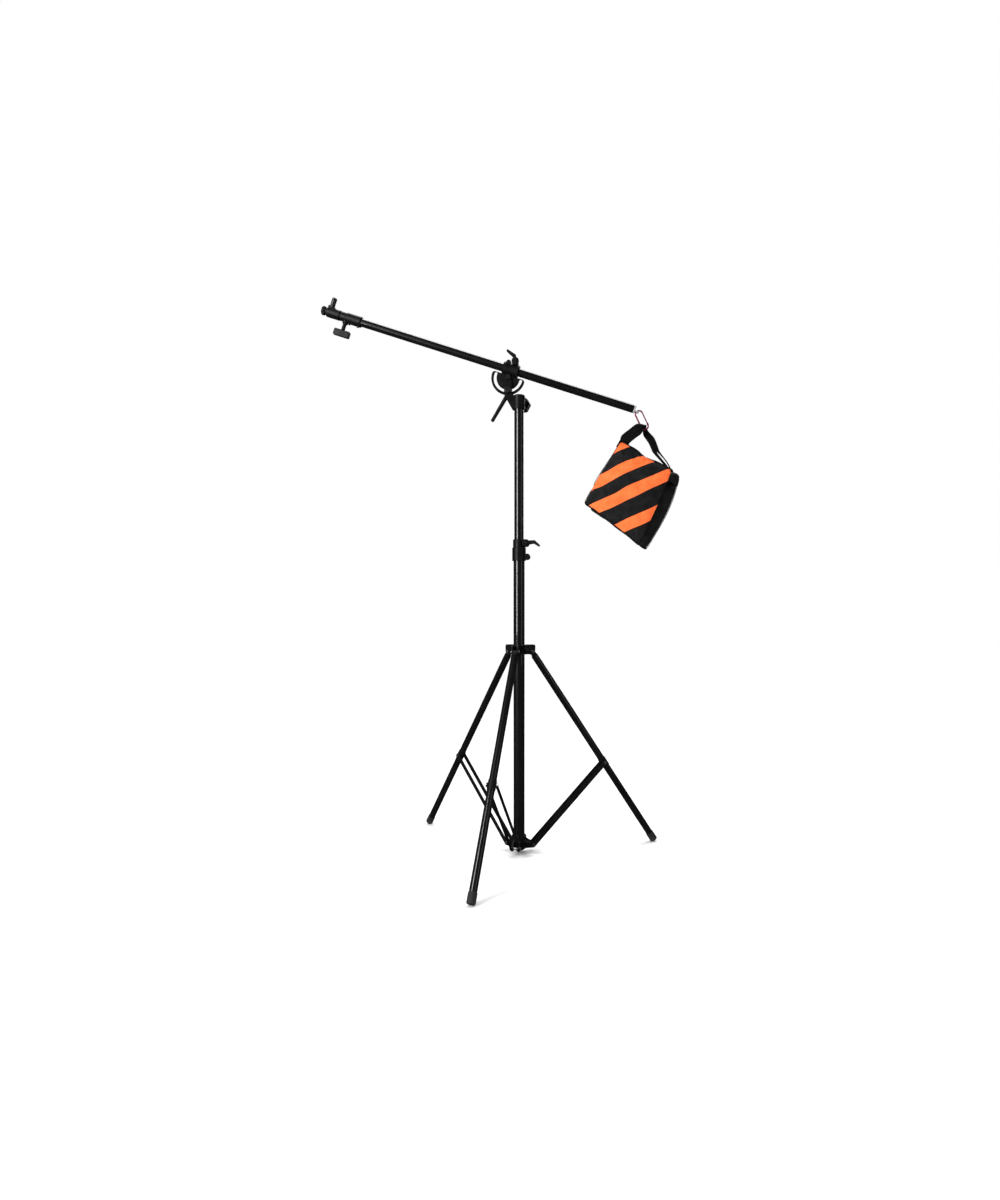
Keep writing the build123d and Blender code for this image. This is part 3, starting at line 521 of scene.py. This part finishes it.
def stuff(pouch, seam, corners, frames=24, cap=0.009):
    """Blow the panels out against their seams, so that they pucker as stuffed cloth does."""
    start = [v.co.copy() for v in pouch.data.vertices]
    group = pouch.vertex_groups.new(name="held")
    group.add(seam, 0.35, "REPLACE")
    group.add(corners, 1.0, "REPLACE")
    cloth = modify(pouch, "CLOTH")
    settings = cloth.settings
    settings.quality = 6
    settings.mass = 0.25
    settings.tension_stiffness = settings.compression_stiffness = 28
    settings.shear_stiffness = 12
    settings.bending_stiffness = 0.35
    settings.vertex_group_mass = "held"
    settings.pin_stiffness = 1.0
    settings.use_pressure = True
    settings.uniform_pressure_force = 3.2
    settings.shrink_min = settings.shrink_max = -0.035
    settings.effector_weights.gravity = 0.0
    cloth.collision_settings.use_collision = False
    cloth.point_cache.frame_start, cloth.point_cache.frame_end = 1, frames
    for step in range(1, frames + 1):
        bpy.context.scene.frame_set(step)
    apply_modifiers(pouch)
    bpy.context.scene.frame_set(1)
    for vertex, origin in zip(pouch.data.vertices, start):
        move = vertex.co - origin
        if move.length > cap:
            vertex.co = origin + move.normalized() * cap
    pouch.vertex_groups.clear()


def sweep_loop(name, centres, outs, widths, thickness, material, sides=8):
    """A closed binding: a flat oval carried round a loop of centres."""
    points, faces, cloth = [], [], []
    count, travelled = len(centres), 0.0
    for n, (centre, out, width) in enumerate(zip(centres, outs, widths)):
        travelled += (centre - centres[n - 1]).length if n else 0.0
        for k in range(sides):
            angle = 2 * math.pi * k / sides
            depth = Vector((0, thickness * math.sin(angle), 0))
            points.append(centre + out * (width * math.cos(angle)) + depth)
            cloth.append((angle * 0.002, travelled, 0.0))
    for n in range(count):
        for k in range(sides):
            m, j = (n + 1) % count, (k + 1) % sides
            faces.append((n * sides + k, n * sides + j, m * sides + j, m * sides + k))
    piece = mesh_piece(name, points, faces, material)
    store(piece, "cloth", cloth, "FLOAT_VECTOR")
    modify(piece, "SUBSURF", levels=1, render_levels=1)
    return piece


def seam_line(pouch, seam):
    """The sewn edge after the stuffing: its points and the outward directions in its plane."""
    points = [pouch.data.vertices[i].co.copy() for i in seam]
    middle = sum(points, Vector()) / len(points)
    outs = []
    for n, point in enumerate(points):
        along = points[(n + 1) % len(points)] - points[n - 1]
        out = Vector((along.z, 0, -along.x)).normalized()
        outs.append(out if out.dot(point - middle) > 0 else -out)
    return points, outs


def stitches(name, line, normals, material, length=0.0034, gap=0.0014, radius=0.00032, sides=6):
    """A row of short thread stitches, each a small capsule laid along a line."""
    points, faces, cloth = [], [], []
    lengths = [0.0]
    for a, b in zip(line, line[1:]):
        lengths.append(lengths[-1] + (b - a).length)

    def at(distance):
        n = max(i for i, total in enumerate(lengths[:-1]) if total <= distance)
        share = (distance - lengths[n]) / max(lengths[n + 1] - lengths[n], 1e-9)
        return line[n].lerp(line[n + 1], share), normals[n].lerp(normals[n + 1], share).normalized()

    begin = 0.0
    while begin + length < lengths[-1]:
        (a, normal), (b, _) = at(begin), at(begin + length)
        along = (b - a).normalized()
        side = along.cross(normal).normalized()
        base = len(points)
        for share, swell in ((0.0, 0.35), (0.15, 0.9), (0.5, 1.0), (0.85, 0.9), (1.0, 0.35)):
            centre = a.lerp(b, share) + normal * radius * (0.2 + 0.6 * math.sin(math.pi * share))
            for k in range(sides):
                angle = 2 * math.pi * k / sides
                points.append(centre + (side * math.cos(angle) + normal * math.sin(angle)) * radius * swell)
                cloth.append((angle * 0.001, begin, 0.0))
        for ring in range(4):
            for k in range(sides):
                j = (k + 1) % sides
                first, second = base + ring * sides, base + (ring + 1) * sides
                faces.append((first + k, first + j, second + j, second + k))
        faces.append(tuple(base + k for k in range(sides))[::-1])
        faces.append(tuple(base + 4 * sides + k for k in range(sides)))
        begin += length + gap
    piece = mesh_piece(name, points, faces, material)
    store(piece, "cloth", cloth, "FLOAT_VECTOR")
    return piece


# ---- handle ----
def band(name, stations, material, half_width=0.017, thickness=STRAP_T, pleats=3.0, steps=9, columns=20):
    """A strap through stations of centre, half of its width as a vector, and the height of its pleats."""
    stops = [(*centre, *half, pleat) for centre, half, pleat in stations]
    line = smooth_line(stops, steps)
    points, faces, cloth = [], [], []
    travelled = 0.0
    for n, stop in enumerate(line):
        centre, half, pleat = Vector(stop[:3]), Vector(stop[3:6]), stop[6]
        ahead, behind = line[min(n + 1, len(line) - 1)], line[max(n - 1, 0)]
        along = (Vector(ahead[:3]) - Vector(behind[:3])).normalized()
        normal = along.cross(half).normalized()
        travelled += (centre - Vector(line[n - 1][:3])).length if n else 0.0
        for face in (-1, 1):
            for c in range(columns + 1):
                s = 2 * c / columns - 1
                fold = pleat * math.cos(math.pi * pleats * s)
                edge = 1 - 0.55 * max(0.0, abs(s) - 0.9) / 0.1
                points.append(centre + half * s + normal * (fold + face * edge * thickness / 2))
                cloth.append((s * half_width, travelled, 0.0))
    width = columns + 1
    for n in range(len(line) - 1):
        a, b = n * 2 * width, (n + 1) * 2 * width
        for c in range(columns):
            faces.append((a + c, b + c, b + c + 1, a + c + 1))
            faces.append((a + width + c + 1, b + width + c + 1, b + width + c, a + width + c))
        faces.append((a + width, b + width, b, a))
        faces.append((a + columns, b + columns, b + width + columns, a + width + columns))
    for a, turned in ((0, False), ((len(line) - 1) * 2 * width, True)):
        for c in range(columns):
            quad = (a + c, a + c + 1, a + width + c + 1, a + width + c)
            faces.append(quad[::-1] if turned else quad)
    piece = mesh_piece(name, points, faces, material)
    store(piece, "cloth", cloth, "FLOAT_VECTOR")
    modify(piece, "SUBSURF", levels=1, render_levels=1)
    return piece


def strap_station(row, origin, ends=(0.0, 1.0)):
    """One station of a band: the part of the strap between two shares of its width, from its inner edge."""
    outer_x, outer_z, inner_x, inner_z, y, pleat = row
    outer, inner = Vector((outer_x, y, outer_z)), Vector((inner_x, y, inner_z))
    first, second = inner.lerp(outer, ends[0]), inner.lerp(outer, ends[1])
    return origin + (first + second) / 2, (second - first) / 2, pleat


def make_handle(strap):
    """The webbing handle: up from the left corner, bunched over the carabiner, and down in two plies."""
    ring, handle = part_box("carabiner_frame")[1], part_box("bag_handle")[1]
    bunch = Vector((ring.x - 0.0122, 0.0, handle.z - 0.0100))
    first = [strap_station(row, bunch) for row in (*LEFT_STRAP, OVER_RING)]
    first += [strap_station(row, bunch, (0.0, end)) for row, end in zip(RIGHT_STRAP, PLY_ENDS)]
    second = []
    for row, begin in zip(RIGHT_STRAP, PLY_BEGINS):
        centre, half, pleat = strap_station(row, bunch, (begin, 1.0))
        second.append((centre + Vector((0, 0.0021, 0)), half, pleat * 0.5))
    long_band = band("handle_strap", first, strap, half_width=0.017, pleats=3.0)
    short_band = band("handle_second_ply", second, strap, half_width=0.006, pleats=1.0, columns=10)
    return long_band, short_band


def make_bridge(cloth, seams):
    """The panel that joins the tops of the two pouches, sewn to their seams with a little slack."""
    middle = sum(seams[0], Vector()) / len(seams[0])
    stations = []
    for share in BRIDGE_STOPS:
        front, back = (points[round(share * POUCH_CELLS[0])] for points in seams)
        across = (back - front).normalized() * BRIDGE_LAP
        rise = (front - middle).normalized() * BRIDGE_RISE
        wave = 0.0012 * math.sin(share * 17.0)
        stations.append(((front + back) / 2 + rise, (back - front) / 2 + across, -0.0016 + wave))
    return band("pouch_bridge", stations, cloth, half_width=0.027, thickness=0.0014, pleats=1.0)


def main_bag():
    striped, plain = fabric("striped_cloth", True), fabric("black_cloth", False)
    strap, thread = webbing("strap_webbing"), webbing("thread", 0.014)
    edging = webbing("edge_binding", 0.005)
    pieces, seams = [], []
    for name, node, outer, seed in (("front_pouch", "sand_pouch_front", -1, 0.0),
                                    ("back_pouch", "sand_pouch_back", 1, 7.0)):
        pouch, seam = make_pouch(name, node, outer, striped, seed)
        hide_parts(node)
        points, outs = seam_line(pouch, seam)
        seams.append(points)
        cols, rows = POUCH_CELLS
        widths = []
        for n in range(len(points)):
            on_bottom = cols + rows < n < 2 * cols + rows
            widths.append(BINDING_LOW_W if on_bottom else BINDING_W)
        widths = [sum(widths[(n + k) % len(widths)] for k in (-1, 0, 1)) / 3 for n in range(len(widths))]
        binding = sweep_loop(f"{name}_binding", points, outs, widths, 0.0011, edging)
        pieces += [pouch, binding]
        for side in (-1, 1):
            line = [p + Vector((0, side * STITCH_LIFT, 0)) for p in points]
            row = stitches(f"{name}_stitches_{'front' if side < 0 else 'back'}", line,
                           [Vector((0, side, 0))] * len(line), thread)
            pieces.append(row)
    bridge = make_bridge(plain, seams)
    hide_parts("bag_bridge")
    handle = make_handle(strap)
    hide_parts("bag_handle")
    for piece in (*pieces, bridge, *handle):
        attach(piece, "sand_bag")


def studio():
    """Pale floor, soft light, and the camera."""
    floor_surface = Surface("studio_floor", (0.86, 0.86, 0.86), 0.9, Specular_IOR_Level=0.0)
    floor_surface.colour(floor_surface.mix(floor_surface.noise(1.5), (0.85, 0.85, 0.85), (0.88, 0.88, 0.88)))
    reach = 60.0
    corners = [(-reach, -reach, 0), (reach, -reach, 0), (reach, reach, 0), (-reach, reach, 0)]
    floor = mesh_piece("floor", corners, [(0, 1, 2, 3)], floor_surface.material, smooth=False)
    floor.visible_glossy = False
    world = bpy.data.worlds.new("studio")
    bpy.context.scene.world = world
    world.use_nodes = True
    tree = world.node_tree
    background = tree.nodes["Background"]
    background.inputs["Color"].default_value = (1.0, 1.0, 1.0, 1.0)
    ray = tree.nodes.new("ShaderNodeLightPath")
    level = None
    for output, strength in (("Is Camera Ray", 1.0), ("Is Glossy Ray", 0.03), ("Is Diffuse Ray", 0.55)):
        part = tree.nodes.new("ShaderNodeMath")
        part.operation = "MULTIPLY_ADD"
        tree.links.new(ray.outputs[output], part.inputs[0])
        part.inputs[1].default_value = strength
        part.inputs[2].default_value = 0.0
        if level is not None:
            tree.links.new(level, part.inputs[2])
        level = part.outputs["Value"]
    tree.links.new(level, background.inputs["Strength"])
    for name, kind, at, size, power in (
        ("key", "AREA", (-2.0, -2.25, 1.9), (0.5, 2.6), 105.0),
        ("fill", "AREA", (2.6, -1.6, 1.5), (0.7, 2.2), 5.0),
        ("rim", "AREA", (1.4, 2.4, 2.2), (0.8, 2.0), 18.0),
        ("overhead", "SUN", (0.2, 1.2, 4.2), None, 2.1),
    ):
        light = bpy.data.lights.new(name, kind)
        if kind == "AREA":
            light.shape = "RECTANGLE"
            light.size, light.size_y = size
        else:
            light.angle = math.radians(40)
        light.energy = power
        lamp = bpy.data.objects.new(name, light)
        lamp.location = at
        lamp.rotation_euler = (Vector((0, 0, 1.0)) - Vector(at)).to_track_quat("-Z", "Y").to_euler()
        bpy.context.scene.collection.objects.link(lamp)
    data = bpy.data.cameras.new("camera")
    data.lens = LENS
    data.shift_x, data.shift_y = SHIFT
    data.clip_end = 200.0
    camera = bpy.data.objects.new("camera", data)
    camera.location = CAMERA_AT
    camera.rotation_euler = (math.radians(90), 0, math.radians(CAMERA_TURN))
    bpy.context.scene.collection.objects.link(camera)
    bpy.context.scene.camera = camera
    bpy.context.scene.view_settings.view_transform = "Standard"


studio()
finish_parts()
main_bag()
